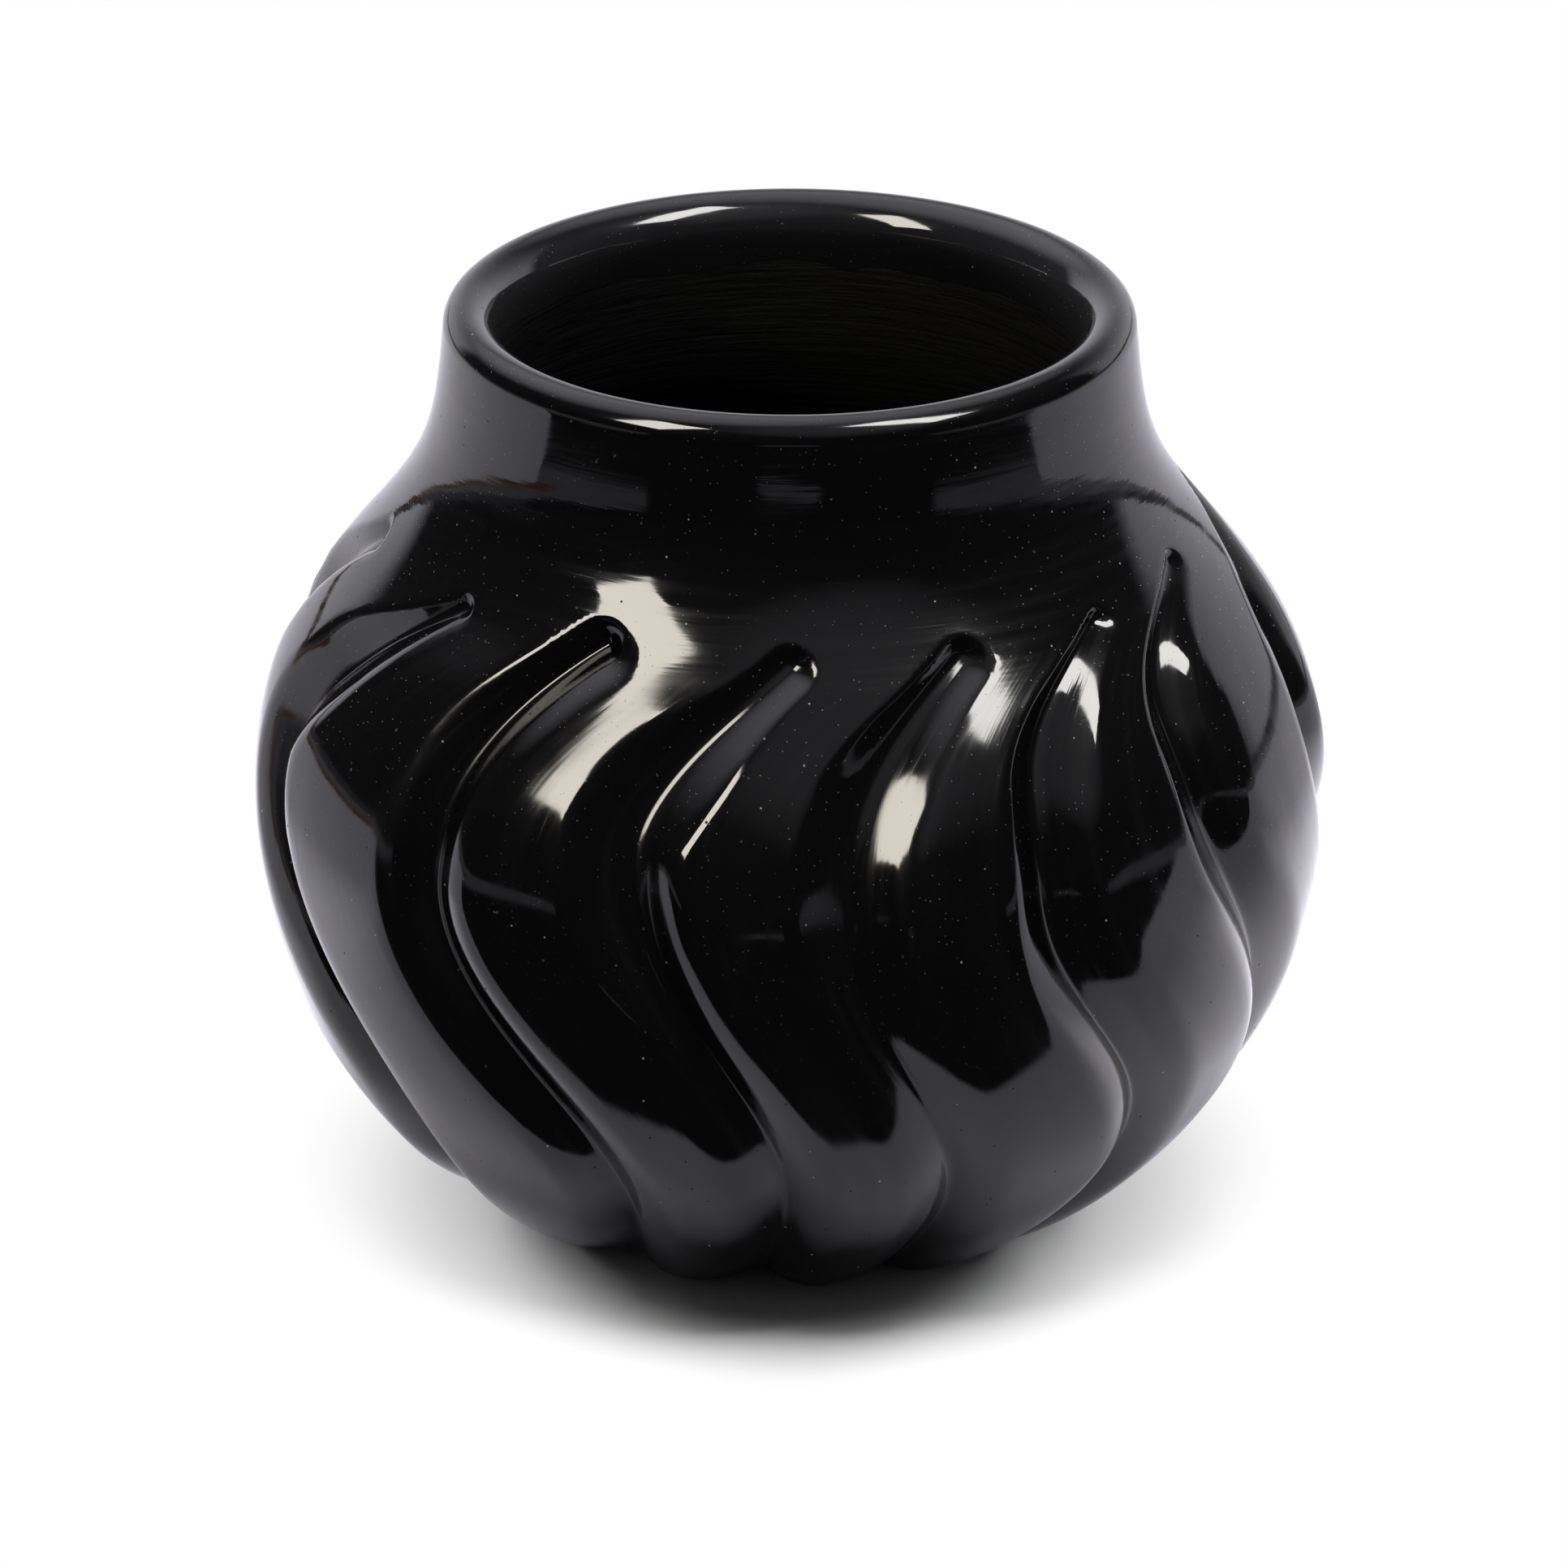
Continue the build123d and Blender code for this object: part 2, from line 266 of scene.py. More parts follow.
def cut_by(flute, shift, way, height, angle, radius):
    """Depth of clay that one flute takes away at some places on the wall."""
    lean, soft, hollow, blunt = flute[-4:]
    end_way = np.interp(flute_end(flute), line_height, line_way)
    line = np.linspace(0, end_way, flute_points)
    line_angle = np.radians(flute_angle(flute, np.interp(line, line_way, line_height)) + shift)
    nearest = np.full(way.shape, np.inf)
    below = np.zeros(way.shape)
    side = np.zeros(way.shape)
    for a, b, turn_a, turn_b in zip(line, line[1:], line_angle, line_angle[1:]):
        xa, ya = radius * (turn_a - angle), a - way
        xb, yb = radius * (turn_b - angle), b - way
        dx, dy = xb - xa, yb - ya
        share = np.clip(-(xa * dx + ya * dy) / (dx * dx + dy * dy), 0, 1)
        gap_x, gap_y = xa + share * dx, ya + share * dy
        gap = np.hypot(gap_x, gap_y)
        closer = gap < nearest
        nearest = np.where(closer, gap, nearest)
        below = np.where(closer, end_way - a - share * (b - a), below)
        across = (gap_x * dy - gap_y * dx) / (np.hypot(dx, dy) * np.maximum(gap, 1e-9))
        side = np.where(closer, across, side)
    full = ease(below / flute_start_run)
    high = ease((height - lean_low_height) / (lean_full_height - lean_low_height))
    leaning = lean * high * side
    start_width, start_depth = (
        pointed + blunt * (round_ended - pointed)
        for pointed, round_ended in (start_width_shares, start_depth_shares)
    )
    width = flute_half_width * (start_width + (1 - start_width) * full)
    width = width * (1 + lean_width_share * leaning)
    depth = flute_depth * (start_depth + (1 - start_depth) * full)
    depth = depth * (foot_depth_share + (1 - foot_depth_share) * ease(height / belly_height))
    bend = crease_round + (hollow_round - crease_round) * hollow * high
    inside = (np.sqrt(nearest**2 + bend**2) - bend) / (np.sqrt(width**2 + bend**2) - bend)
    edge = crisp_edge_power + (soft_edge_power - crisp_edge_power) * soft * (1 - side) / 2
    power = low_edge_power + (edge - low_edge_power) * high
    return depth * np.clip(1 - inside, 0, 1) ** power


def rib_sides():
    """Each rib's number and columns, and the flutes to both sides, each with a turn to add."""
    count = len(flute_shares)
    for rib, flute in enumerate(flute_shares):
        part = slice(rib * rib_columns, (rib + 1) * rib_columns)
        wrap = 360 if rib + 1 == count else 0
        yield rib, part, (flute, 0), (flute_shares[(rib + 1) % count], wrap)


def column_angles(wall_height):
    """The columns' angles at each row. They follow the flutes, and are even at the lip."""
    even_share = np.arange(rib_columns) / rib_columns
    share = even_share - column_crowding * np.sin(2 * pi * even_share) / (2 * pi)
    straight = (wall_height - straighten_height) / (lip_height - straighten_height)
    mix = ease(straight)[:, None]
    tops = [flute_angle(flute, np.array([lip_height]))[0] for flute in flute_shares]
    even = np.mean([top - 360 * n / len(tops) for n, top in enumerate(tops)])
    angle = np.zeros((len(wall_height), columns))
    for rib, part, (flute, _), (following, wrap) in rib_sides():
        start = flute_angle(flute, wall_height)[:, None]
        end = flute_angle(following, wall_height)[:, None] + wrap
        spread = start + share * (end - start)
        level = even + 360 * (rib + even_share) / len(flute_shares)
        angle[:, part] = np.radians(spread + (level - spread) * mix)
    return angle


def carved_cut(field, way, wall_height, angle, radius):
    """Depth of clay that the flutes take away, at every row and column."""
    cut = np.zeros(angle.shape)
    ways = np.repeat(way[field][:, None], rib_columns, 1)
    heights = np.repeat(wall_height[field][:, None], rib_columns, 1)
    for _, part, *sides in rib_sides():
        cut[field, part] = np.maximum(*[
            cut_by(flute, shift, ways, heights, angle[field, part], radius[field, part])
            for flute, shift in sides
        ])
    return cut


def hand_waviness(angle, height):
    """How far the hand's waves move the wall, which is in by up to the hand's depth."""
    wave = np.zeros(angle.shape)
    for turns, climb, start in hand_waves:
        wave += np.cos(turns * angle + climb * height / mm + start)
    wave = (wave / len(hand_waves) - 1) * hand_depth / 2
    return wave * ease((height - hand_start_height) / hand_fade_height)


def straight_grain(along):
    """Places on a straight tube, with the rows along it and the columns round it."""
    column = 2 * pi * (np.arange(columns) + 0.5) / columns
    return np.stack([
        np.repeat(grain_radius * np.cos(column)[None], len(along), 0),
        np.repeat(grain_radius * np.sin(column)[None], len(along), 0),
        np.repeat(along[:, None], columns, 1),
    ], -1)


def carved_skin(rows, first_wall, wall_count):
    """Places, grain, cut and depth inside for every row and column of the skin."""
    last_wall = first_wall + wall_count
    wall_height = rows[:, 1].copy()
    wall_height[:first_wall] = 0
    wall_height[last_wall:] = lip_height
    way = np.interp(wall_height, line_height, line_way)
    up = np.interp(way, line_way, line_up)
    radius = np.repeat(rows[:, 0][:, None], columns, 1)
    height = np.repeat(rows[:, 1][:, None], columns, 1)
    angle = column_angles(wall_height)
    cut = carved_cut(slice(first_wall, last_wall), way, wall_height, angle, radius)
    carved = radius - cut / up[:, None] + hand_waviness(angle, height)
    foot_line = carved[first_wall] / foot_radius
    carved[:first_wall] = radius[:first_wall] * foot_line
    places = np.stack([carved * np.sin(angle), -carved * np.cos(angle), height], -1)
    inner = np.zeros(len(rows))
    steps = np.hypot(*np.diff(rows, axis=0).T)
    inner[last_wall + 1:] = np.cumsum(steps[last_wall:])
    return places, straight_grain(way + inner), cut, np.repeat(inner[:, None], columns, 1)


def select_none():
    bpy.ops.object.select_all(action="DESELECT")


def turned_form(rows):
    """The jar as a potter's profile turned about its axis, before the carving."""
    select_none()
    bpy.ops.mesh.primitive_plane_add(size=first_square, location=(rows[0][0], 0, rows[0][1]))
    form = bpy.context.object
    bpy.ops.object.transform_apply(location=True, rotation=False, scale=False)
    bpy.ops.object.mode_set(mode="EDIT")
    bpy.ops.mesh.select_all(action="SELECT")
    bpy.ops.mesh.merge(type="CENTER")
    for (r0, z0), (r1, z1) in zip(rows, rows[1:]):
        step = {"value": (r1 - r0, 0, z1 - z0)}
        bpy.ops.mesh.extrude_region_move(TRANSFORM_OT_translate=step)
    bpy.ops.mesh.select_all(action="SELECT")
    bpy.ops.mesh.spin(steps=columns, angle=2 * pi, center=(0, 0, 0), axis=(0, 0, 1))
    bpy.ops.mesh.select_all(action="SELECT")
    bpy.ops.mesh.remove_doubles(threshold=seam_gap)
    bpy.ops.mesh.normals_make_consistent(inside=False)
    bpy.ops.object.mode_set(mode="OBJECT")
    return form


def carve(form, rows, skin):
    """Moves each point of the turned form to its place on the carved skin."""
    places, grain, cut, inner = skin
    mesh = form.data
    co = np.empty(len(mesh.vertices) * 3)
    mesh.vertices.foreach_get("co", co)
    co = co.reshape(-1, 3)
    radius = np.hypot(co[:, 0], co[:, 1])
    row = np.empty(len(co), int)
    for start in range(0, len(co), points_at_once):
        part = slice(start, start + points_at_once)
        far = (radius[part, None] - rows[:, 0]) ** 2 + (co[part, 2, None] - rows[:, 1]) ** 2
        row[part] = far.argmin(1)
    turn = np.arctan2(co[:, 1], co[:, 0]) / (2 * pi) * columns
    column = np.round(turn).astype(int) % columns
    mesh.vertices.foreach_set("co", places[row, column].ravel())
    for name, kind, field, values in (
        ("grain", "FLOAT_VECTOR", "vector", grain[row, column]),
        ("cut", "FLOAT", "value", cut[row, column]),
        ("inner", "FLOAT", "value", inner[row, column]),
    ):
        attribute = mesh.attributes.new(name, kind, "POINT")
        attribute.data.foreach_set(field, np.ascontiguousarray(values, float).ravel())
    mesh.update()


def sound_shell(form):
    """Turns the faces outwards and shades them smooth."""
    select_none()
    form.select_set(True)
    bpy.context.view_layer.objects.active = form
    bpy.ops.object.mode_set(mode="EDIT")
    bpy.ops.mesh.select_all(action="SELECT")
    bpy.ops.mesh.normals_make_consistent(inside=False)
    bpy.ops.object.mode_set(mode="OBJECT")
    bpy.ops.object.shade_smooth()


class Wiring:
    """A node tree, with short words for the nodes that this jar and its studio need."""

    row_length, column_gap, row_gap = 12, 220, 260
    speck_core_share = 0.55
    sharp_step = 0.001

    def __init__(self, tree):
        tree.nodes.clear()
        self.tree = tree

    def add(self, kind, **settings):
        """A new node, laid out in rows."""
        made = self.tree.nodes.new(kind)
        row, column = divmod(len(self.tree.nodes), self.row_length)
        made.location = (self.column_gap * column, -self.row_gap * row)
        for name, value in settings.items():
            setattr(made, name, value)
        return made

    def put(self, made, **values):
        """Sets or wires inputs, by a name with underscores for spaces, or by n and a number."""
        for name, value in values.items():
            key = int(name[1:]) if name[0] == "n" and name[1:].isdigit() else name.replace("_", " ")
            if isinstance(value, bpy.types.NodeSocket):
                self.tree.links.new(value, made.inputs[key])
            else:
                made.inputs[key].default_value = value
        return made

    def attribute(self, name, output):
        return self.add("ShaderNodeAttribute", attribute_name=name).outputs[output]

    def parts(self, vector):
        """The three parts of a vector."""
        return self.put(self.add("ShaderNodeSeparateXYZ"), Vector=vector).outputs

    def sums(self, operation, *values):
        made = self.add("ShaderNodeMath", operation=operation)
        return self.put(made, **{f"n{i}": value for i, value in enumerate(values)}).outputs[0]

    def times(self, first, second):
        return self.sums("MULTIPLY", first, second)

    def plus(self, first, second):
        return self.sums("ADD", first, second)

    def most(self, first, *others):
        """The largest of some values."""
        for other in others:
            first = self.sums("MAXIMUM", first, other)
        return first

    def length(self, x, y):
        return self.sums("SQRT", self.plus(self.times(x, x), self.times(y, y)))

    def ramp(self, value, low, high, start=0.0, end=1.0, soft=True):
        """Goes from start to end while the value goes from low to high."""
        kind = "SMOOTHSTEP" if soft else "LINEAR"
        made = self.add("ShaderNodeMapRange", interpolation_type=kind)
        self.put(made, Value=value, From_Min=low, From_Max=high, To_Min=start, To_Max=end)
        return made.outputs[0]

    def noise(self, vector, scale, detail, rough):
        made = self.add("ShaderNodeTexNoise")
        self.put(made, Vector=vector, Scale=scale, Detail=detail, Roughness=rough)
        return made.outputs["Fac"]

    def streaks(self, vector, scales, detail, rough):
        """Noise that is drawn out along one of a vector's parts."""
        stretched = self.put(self.add("ShaderNodeMapping"), Vector=vector, Scale=scales)
        return self.noise(stretched.outputs[0], 1, detail, rough)

    def blend(self, share, first, second):
        made = self.add("ShaderNodeMix", data_type="FLOAT")
        return self.put(made, n0=share, n2=first, n3=second).outputs[0]

    def tint(self, share, first, second):
        made = self.add("ShaderNodeMix", data_type="RGBA")
        return self.put(made, n0=share, n6=first, n7=second).outputs[2]

    def mixed(self, share, first, second):
        """Two shaders mixed."""
        made = self.add("ShaderNodeMixShader")
        return self.put(made, n0=share, n1=first, n2=second).outputs[0]

    def painted(self, kind, **values):
        """A shader of a kind, with its values."""
        return self.put(self.add(kind), **values).outputs[0]

    def bumped(self, height, distance, normal=None):
        made = self.add("ShaderNodeBump")
        self.put(made, Height=height, Distance=distance, Strength=1.0)
        if normal:
            self.put(made, Normal=normal)
        return made.outputs[0]

    def facing(self, way, direction):
        """How nearly a way runs in a direction."""
        made = self.add("ShaderNodeVectorMath", operation="DOT_PRODUCT")
        return self.put(made, n0=way, n1=tuple(direction)).outputs["Value"]

    def specks(self, vector, scale, reach, share):
        """Round spots that only some of the cells of a pattern hold."""
        cells = self.put(self.add("ShaderNodeTexVoronoi"), Vector=vector, Scale=scale)
        spot = self.ramp(cells.outputs["Distance"], reach, reach * self.speck_core_share)
        pick = self.add("ShaderNodeSeparateColor")
        self.put(pick, Color=cells.outputs["Color"])
        kept = self.ramp(pick.outputs[0], 1 - share, 1 - share + self.sharp_step, soft=False)
        return self.times(spot, kept)


# The stone was drawn along the ribs, and round the jar on shoulder and neck
stroke_turn_heights = (70 * mm, 80 * mm)
rib_stroke_scales = (620, 620, 26)
neck_stroke_scales = (30, 30, 640)
rib_hairline_scales = (2600, 2600, 70)
neck_hairline_scales = (80, 80, 2600)
hairline_edge = (0.66, 0.74)
stroke_relief = 0.016 * mm

# The slip ends in a ragged edge a little way down the inside
slip_end = (13.0 * mm, 13.7 * mm)
slip_end_raggedness = 0.9 * mm
slip_end_scales = (45, 45, 10)
dull_band = (3.0 * mm, 8.0 * mm)

# The bare clay below it is scraped round, and gritty
scraping_scales = (60, 60, 1500)
scraping_relief = 0.22 * mm
grit_scale = 1700
grit_relief = 0.08 * mm

# The polish is patchy. Specks go by the scale of their cells, how far a speck reaches in
# a cell, and the share of the cells that hold one
cloud_scale = 14
patch_scale = 55
patch_relief = 0.050 * mm
pit_specks = (420, 0.070, 0.60)
pit_relief = -0.060 * mm
dust_specks = (1500, 0.105, 0.65)
lint_specks = (400, 0.055, 0.45)

# Dust lies on the upper part, and the grooves are polished less
dust_heights = (35 * mm, 70 * mm)
groove_cuts = (1.7 * mm, 2.9 * mm)

# How rough the polish is, what patches, grooves and hairlines add to it, and how rough
# dust and clay are
polish_rough = (0.04, 0.11)
patch_rough = 0.05
groove_rough = 0.05
hairline_rough = 0.10
dust_rough = 0.7
clay_rough = (0.62, 0.86)

# How much haze lies round the highlights, and the share of the light that the scraped
# clay swallows
haze_shares = (0.01, 0.11)
haze_rough = 0.38
swallowed_share = 0.62
slip_ior = 1.5

# The blacks of slip and clay, and what lies on them
slip_dark = (0.0008, 0.0008, 0.0010, 1)
slip_worn = (0.0024, 0.0023, 0.0024, 1)
slip_streak = (0.0045, 0.0044, 0.0046, 1)
slip_inside = (0.0110, 0.0110, 0.0120, 1)
pit_black = (0.0008, 0.0007, 0.0007, 1)
dust_grey = (0.20, 0.20, 0.21, 1)
clay_dark = (0.0009, 0.0009, 0.0009, 1)
clay_pale = (0.0026, 0.0025, 0.0024, 1)
grit_pale = (0.0046, 0.0043, 0.0040, 1)


def stone_strokes(w, grain, height):
    """The broad strokes of the burnishing stone, and the hairlines that it leaves."""
    shoulder = w.ramp(height, *stroke_turn_heights)
    along_rib = w.streaks(grain, rib_stroke_scales, 3, 0.6)
    round_neck = w.streaks(grain, neck_stroke_scales, 3, 0.6)
    strokes = w.blend(shoulder, along_rib, round_neck)
    fine_rib = w.streaks(grain, rib_hairline_scales, 2, 0.5)
    fine_neck = w.streaks(grain, neck_hairline_scales, 2, 0.5)
    return strokes, w.ramp(w.blend(shoulder, fine_rib, fine_neck), *hairline_edge)


def fallen_dust(w, place, height, clouds):
    """Fine dust on the upper part of the jar, and a little lint all over."""
    settled = w.ramp(height, *dust_heights, 0.10, 1.0)
    settled = w.times(settled, w.ramp(clouds, 0.35, 0.55, 0.4, 1.0))
    dust = w.times(w.specks(place, *dust_specks), settled)
    return w.most(dust, w.specks(place, *lint_specks))


def blackware_traces(w):
    """Where the jar is streaked, patchy, pitted, dusty, grooved, bare, scraped and gritty."""
    place = w.add("ShaderNodeTexCoord").outputs["Object"]
    grain = w.attribute("grain", "Vector")
    inner = w.attribute("inner", "Fac")
    height = w.parts(place)["Z"]
    clouds = w.noise(place, cloud_scale, 2, 0.5)
    strokes, hairlines = stone_strokes(w, grain, height)
    ragged = w.streaks(grain, slip_end_scales, 3, 0.5)
    ragged = w.ramp(ragged, 0.3, 0.7, -slip_end_raggedness, slip_end_raggedness, soft=False)
    return SimpleNamespace(
        inner=inner,
        clouds=clouds,
        strokes=strokes,
        hairlines=hairlines,
        patches=w.noise(place, patch_scale, 3, 0.55),
        pits=w.specks(place, *pit_specks),
        dust=fallen_dust(w, place, height, clouds),
        groove=w.ramp(w.attribute("cut", "Fac"), *groove_cuts),
        bare=w.ramp(w.plus(inner, ragged), *slip_end),
        scraping=w.streaks(grain, scraping_scales, 4, 0.6),
        grit=w.noise(place, grit_scale, 3, 0.6),
    )


def blackware_rough(w, at):
    """How rough the slip and the clay are."""
    rough = w.ramp(at.strokes, 0.30, 0.75, *polish_rough)
    rough = w.plus(rough, w.ramp(at.patches, 0.45, 0.75, 0.0, patch_rough))
    rough = w.plus(rough, w.times(at.groove, groove_rough))
    rough = w.plus(rough, w.times(at.hairlines, hairline_rough))
    rough = w.blend(w.most(at.dust, at.pits), rough, dust_rough)
    return w.blend(at.bare, rough, w.ramp(at.scraping, 0.3, 0.7, *clay_rough))


def blackware_colour(w, at):
    """The black of the slip, a little paler in streaks and inside, and that of the clay."""
    slip = w.tint(at.clouds, slip_dark, slip_worn)
    slip = w.tint(w.ramp(at.strokes, 0.55, 0.8, 0.0, 0.5), slip, slip_streak)
    slip = w.tint(w.ramp(at.inner, *dull_band), slip, slip_inside)
    slip = w.tint(at.pits, slip, pit_black)
    slip = w.tint(at.dust, slip, dust_grey)
    clay = w.tint(at.scraping, clay_dark, clay_pale)
    clay = w.tint(w.ramp(at.grit, 0.62, 0.78), clay, grit_pale)
    return w.tint(at.bare, slip, clay)


def blackware_relief(w, at):
    """The fine relief of the polish alone, and of the whole jar with the scraped clay."""
    polished = w.bumped(at.strokes, stroke_relief)
    polished = w.bumped(at.patches, patch_relief, polished)
    polished = w.bumped(at.pits, pit_relief, polished)
    scraped = w.bumped(at.scraping, scraping_relief)
    scraped = w.bumped(at.grit, grit_relief, scraped)
    surface = w.add("ShaderNodeMix", data_type="VECTOR")
    w.put(surface, n0=at.bare, n4=polished, n5=scraped)
    return polished, surface.outputs[1]


def stone_haze(w, at):
    """Fine scratches of the stone spread a haze round every highlight on the slip."""
    scratched = w.times(w.ramp(at.strokes, 0.35, 0.68), w.ramp(at.clouds, 0.35, 0.65, 0.35, 1.0))
    haze = w.ramp(scratched, 0.0, 1.0, *haze_shares)
    return w.times(haze, w.ramp(at.bare, 0.0, 1.0, 1.0, 0.0))


def burnished_blackware():
    """Stone-polished black slip outside and over the lip, scraped matte clay inside."""
    made = bpy.data.materials.new("burnished_blackware")
    made.use_nodes = True
    w = Wiring(made.node_tree)
    at = blackware_traces(w)
    polished, surface = blackware_relief(w, at)
    finish = w.painted("ShaderNodeBsdfPrincipled", Base_Color=blackware_colour(w, at),
                       Roughness=blackware_rough(w, at), IOR=slip_ior, Normal=surface,
                       Coat_Weight=stone_haze(w, at), Coat_Roughness=haze_rough,
                       Coat_Normal=polished, Metallic=w.times(at.bare, swallowed_share))
    w.put(w.add("ShaderNodeOutputMaterial"), Surface=finish)
    return made


def towards(angle, rise):
    """The direction at an angle round the jar and a height above the horizon."""
    turn, lift = radians(angle), radians(rise)
    return Vector((sin(turn) * cos(lift), -cos(turn) * cos(lift), sin(lift)))


# The table that the polish mirrors, in metres from the jar's axis, with x to the right
# and y to the back: white behind its front edge, brown where it ends on the left, a pale
# band to each side in front, and a small pale sheet far in front. All of it is painted on
# the floor: past the near part as a painted glow, and near the jar with painted shade
# towards its front
table_front = (-0.069, -0.065)
table_side = (0.70, 0.74)
band_side = (0.42, 0.60)
band_far = (1.5, 1.3)
band_turn = (-0.03, 0.03)
sheet_side = (0.13, 0.09)
sheet_near = (-0.59, -0.63)
sheet_far = (-0.88, -0.80)
wood_near = (-0.70, -0.73)
wood_far = (-0.95, -0.80)
wood_front = (-0.25, -0.10)
painted_shade_front = (-0.045, 0.0)
glow_start = (0.12, 0.22)

# How bright these show beside the lit table, which is 1, far off as painted glow, and the
# share that the painted shade at the near front leaves
table_side_level = 0.12
band_level = 0.34
sheet_level = 0.33
wood_level = 0.20
rest_level = 0.02
painted_shade_level = 0.57

# Where the shadow on the white floor fades out for the camera, sooner to the sides
shadow_fade = (0.036, 0.064)
shadow_side_share = 1.15
floor_size = 6
floor_drop = 0.05 * mm

white = (1, 1, 1, 1)
black = (0, 0, 0, 1)
floor_grey = (0.86, 0.86, 0.86, 1)
table_white = (0.93, 0.905, 1.0, 1)
wood_brown = (0.75, 0.36, 0.10, 1)


def mirrored_table(w, x, y, away):
    """What the jar's polish shows of the table: the near part lit, with painted shade towards its
    front, and the rest a painted glow.
    """
    aside = w.sums("ABSOLUTE", x)
    table = w.times(w.ramp(y, *table_front), w.ramp(aside, *table_side, 1.0, table_side_level))
    band = w.times(w.ramp(aside, *band_side, 0.0, band_level), w.ramp(away, *band_far))
    band = w.times(band, w.ramp(w.plus(aside, y), *band_turn))
    sheet = w.times(w.ramp(aside, *sheet_side, 0.0, sheet_level), w.ramp(y, *sheet_near))
    sheet = w.times(sheet, w.ramp(y, *sheet_far))
    wood = w.times(w.ramp(x, *wood_near), w.ramp(x, *wood_far))
    wood = w.times(wood, w.ramp(y, *wood_front))
    level = w.most(table, band, sheet, w.times(wood, wood_level), rest_level)
    hue = w.tint(wood, table_white, wood_brown)
    # Painted shade: the near table is darker towards its front, on top of the jar's real shadow
    near_level = w.times(level, w.ramp(y, *painted_shade_front, painted_shade_level, 1.0))
    near = w.painted("ShaderNodeBsdfDiffuse", Color=w.tint(near_level, black, hue))
    # Painted glow: past the near part the table gives out light of its own, seen only in the polish
    far = w.painted("ShaderNodeEmission", Color=hue, Strength=level)
    return w.mixed(w.ramp(away, *glow_start), near, far)


def pale_floor():
    """A white table top. The camera sees only the jar's shadow, the polish sees the table painted as
    glow and shade.
    """
    made = bpy.data.materials.new("pale_floor")
    made.use_nodes = True
    w = Wiring(made.node_tree)
    path = w.add("ShaderNodeLightPath").outputs
    split = w.parts(w.add("ShaderNodeTexCoord").outputs["Object"])
    x, y = split["X"], split["Y"]
    glazed = mirrored_table(w, x, y, w.length(x, y))

    plain = w.painted("ShaderNodeBsdfDiffuse", Color=floor_grey)
    shaded = w.painted("ShaderNodeBsdfDiffuse", Color=white)
    clear = w.painted("ShaderNodeEmission", Color=white, Strength=1.0)
    apart = w.length(w.times(x, shadow_side_share), y)
    seen = w.mixed(w.ramp(apart, *shadow_fade), shaded, clear)
    mirrored = w.most(path["Is Glossy Ray"], path["Is Transmission Ray"])
    unseen = w.mixed(mirrored, plain, glazed)
    last = w.mixed(path["Is Camera Ray"], unseen, seen)
    w.put(w.add("ShaderNodeOutputMaterial"), Surface=last)
    return made


def add_floor():
    select_none()
    bpy.ops.mesh.primitive_plane_add(size=floor_size, location=(0, 0, 0))
    floor = bpy.context.object
    floor.name = "floor"
    floor.data.transform(Matrix.Translation((0, 0, -floor_drop)))
    floor.data.materials.append(pale_floor())


# The room that the polish mirrors: a white backdrop behind the jar, with its middle this
# way in plan, and two soft glows in the dim rest, one in front and one in the ceiling
backdrop_way = (0.148, 0.989)
backdrop_edge = (0.52, 0.66)
backdrop_top = (0.75, 0.15)
dim_rise = (0.1, 0.9)
dim_levels = (0.03, 0.07)
front_glow = (24, 56)
front_glow_reach = (0.74, 1.0)
front_glow_level = 0.34
ceiling_glow = (-150, 62)
ceiling_glow_reach = (0.66, 1.0)
ceiling_glow_level = 1.5
room_white = (0.93, 0.92, 1.0, 1)

# The light that the room gives to the clay and the floor, from front to back
room_depth = (-0.3, 0.6)
room_levels = (0.05, 0.40)


def studio():
    """White to the camera. A white backdrop behind the jar, and a dim room in front."""
    world = bpy.data.worlds.new("studio")
    bpy.context.scene.world = world
    world.use_nodes = True
    w = Wiring(world.node_tree)
    path = w.add("ShaderNodeLightPath").outputs
    way = w.add("ShaderNodeTexCoord").outputs["Generated"]
    split = w.parts(way)
    x, y, z = split["X"], split["Y"], split["Z"]
    across = w.plus(w.times(x, backdrop_way[0]), w.times(y, backdrop_way[1]))
    behind = w.ramp(w.sums("DIVIDE", across, w.length(x, y)), *backdrop_edge)
    backdrop = w.times(behind, w.ramp(z, *backdrop_top))
    front = w.ramp(w.facing(way, towards(*front_glow)), *front_glow_reach, 0.0, front_glow_level)
    above = w.facing(way, towards(*ceiling_glow))
    above = w.ramp(above, *ceiling_glow_reach, 0.0, ceiling_glow_level)
    level = w.most(backdrop, w.ramp(z, *dim_rise, *dim_levels), front, above)
    mirrored = w.painted("ShaderNodeBackground", Color=room_white, Strength=level)
    room_level = w.ramp(y, *room_depth, *room_levels)
    room = w.painted("ShaderNodeBackground", Color=white, Strength=room_level)
    bright = w.painted("ShaderNodeBackground", Color=white, Strength=1.0)
    last = w.mixed(path["Is Glossy Ray"], room, mirrored)
    seen = w.most(path["Is Camera Ray"], path["Is Transmission Ray"])
    last = w.mixed(seen, last, bright)
    w.put(w.add("ShaderNodeOutputWorld"), Surface=last)


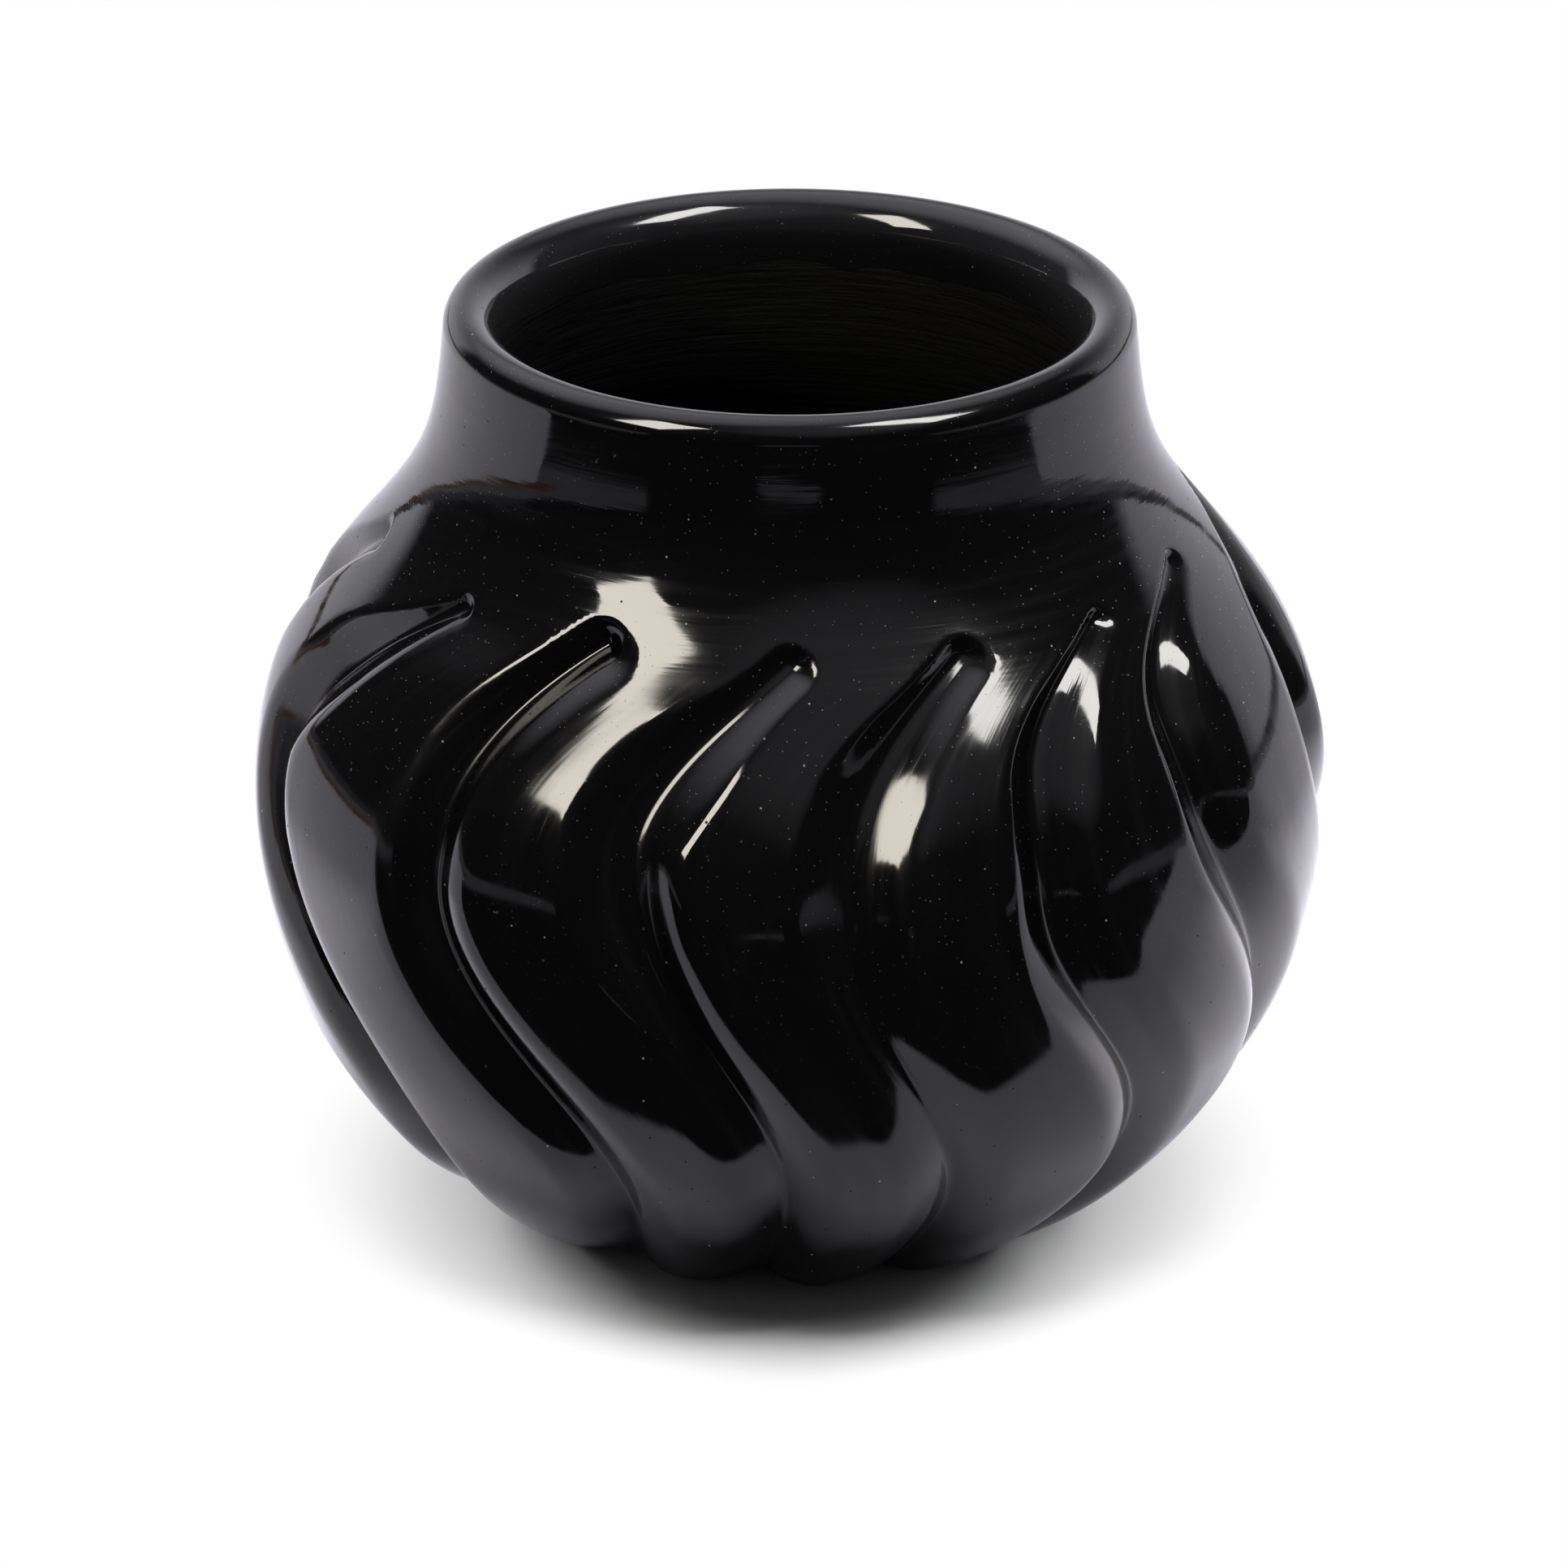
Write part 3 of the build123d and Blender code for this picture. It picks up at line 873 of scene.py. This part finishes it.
# The soft boxes face the jar from this far. Their power for each square metre follows from
# how bright a mirror shows them. Each one: angle round the jar, rise above the horizon,
# width, height, brightness, hue, tilt, and what it is there for, the polish's mirror image
# or the shadows
lamp_aim = Vector((0, 0, 60 * mm))
lamp_distance = 1.0
power_for_brightness = 4
warm = (1, 0.94, 0.83)
pale = (1, 0.99, 0.95)
plain_white = (1, 1, 1)
soft_boxes = {
    "left_soft_box": (-47.5, 36.8, 0.29, 0.49, 13.0, warm, -14, "mirror"),
    "right_soft_box": (59.5, 57.5, 0.28, 0.50, 14.0, pale, 14, "mirror"),
    "top_soft_box": (4, 70, 0.34, 0.34, 20.0, plain_white, 0, "shadows"),
    "left_fill": (-125, 22, 0.45, 0.45, 13.0, plain_white, 0, "shadows"),
    "right_fill": (125, 22, 0.45, 0.45, 13.0, plain_white, 0, "shadows"),
}


def add_soft_box(name, angle, rise, width, height, brightness, hue, tilt, use):
    way = towards(angle, rise)
    bpy.ops.object.light_add(type="AREA", location=lamp_aim + way * lamp_distance)
    lamp = bpy.context.object
    lamp.name = name
    lamp.data.shape = "RECTANGLE"
    lamp.data.size, lamp.data.size_y = width, height
    lamp.data.energy = brightness * width * height * power_for_brightness
    lamp.data.color = hue
    turn = way.to_track_quat("Z", "Y").to_matrix().to_4x4()
    turn = turn @ Matrix.Rotation(radians(tilt), 4, "Z")
    lamp.matrix_world = Matrix.Translation(lamp.location) @ turn
    lamp.visible_glossy = use == "mirror"
    lamp.visible_diffuse = use == "shadows"


# The view of the photograph: from in front, looking down a little, with a long lens. Film
# and lens are in Blender's millimetres
camera_rise = radians(23.36)
camera_distance = 1.0
camera_aim = Vector((-0.61 * mm, 0, 45.3 * mm))
camera_film = 36
camera_lens = 214.03
camera_clip = 0.05


def add_camera():
    place = camera_aim + camera_distance * Vector((0, -cos(camera_rise), sin(camera_rise)))
    bpy.ops.object.camera_add(location=place, rotation=(pi / 2 - camera_rise, 0, 0))
    camera = bpy.context.object
    camera.data.sensor_width = camera_film
    camera.data.lens = camera_lens
    camera.data.clip_start = camera_clip
    bpy.context.scene.camera = camera


add_camera()
add_floor()
studio()
for name, values in soft_boxes.items():
    add_soft_box(name, *values)
bpy.context.scene.view_settings.view_transform = "Standard"

rows, first_wall, wall_count = section_rows()
jar = turned_form([tuple(row) for row in rows])
jar.name = "carved_jar"
carve(jar, rows, carved_skin(rows, first_wall, wall_count))
sound_shell(jar)
jar.data.materials.append(burnished_blackware())
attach(jar, "root")
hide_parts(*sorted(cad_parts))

print("skin", len(jar.data.vertices), "points", len(jar.data.polygons), "faces", len(rows), "rows")
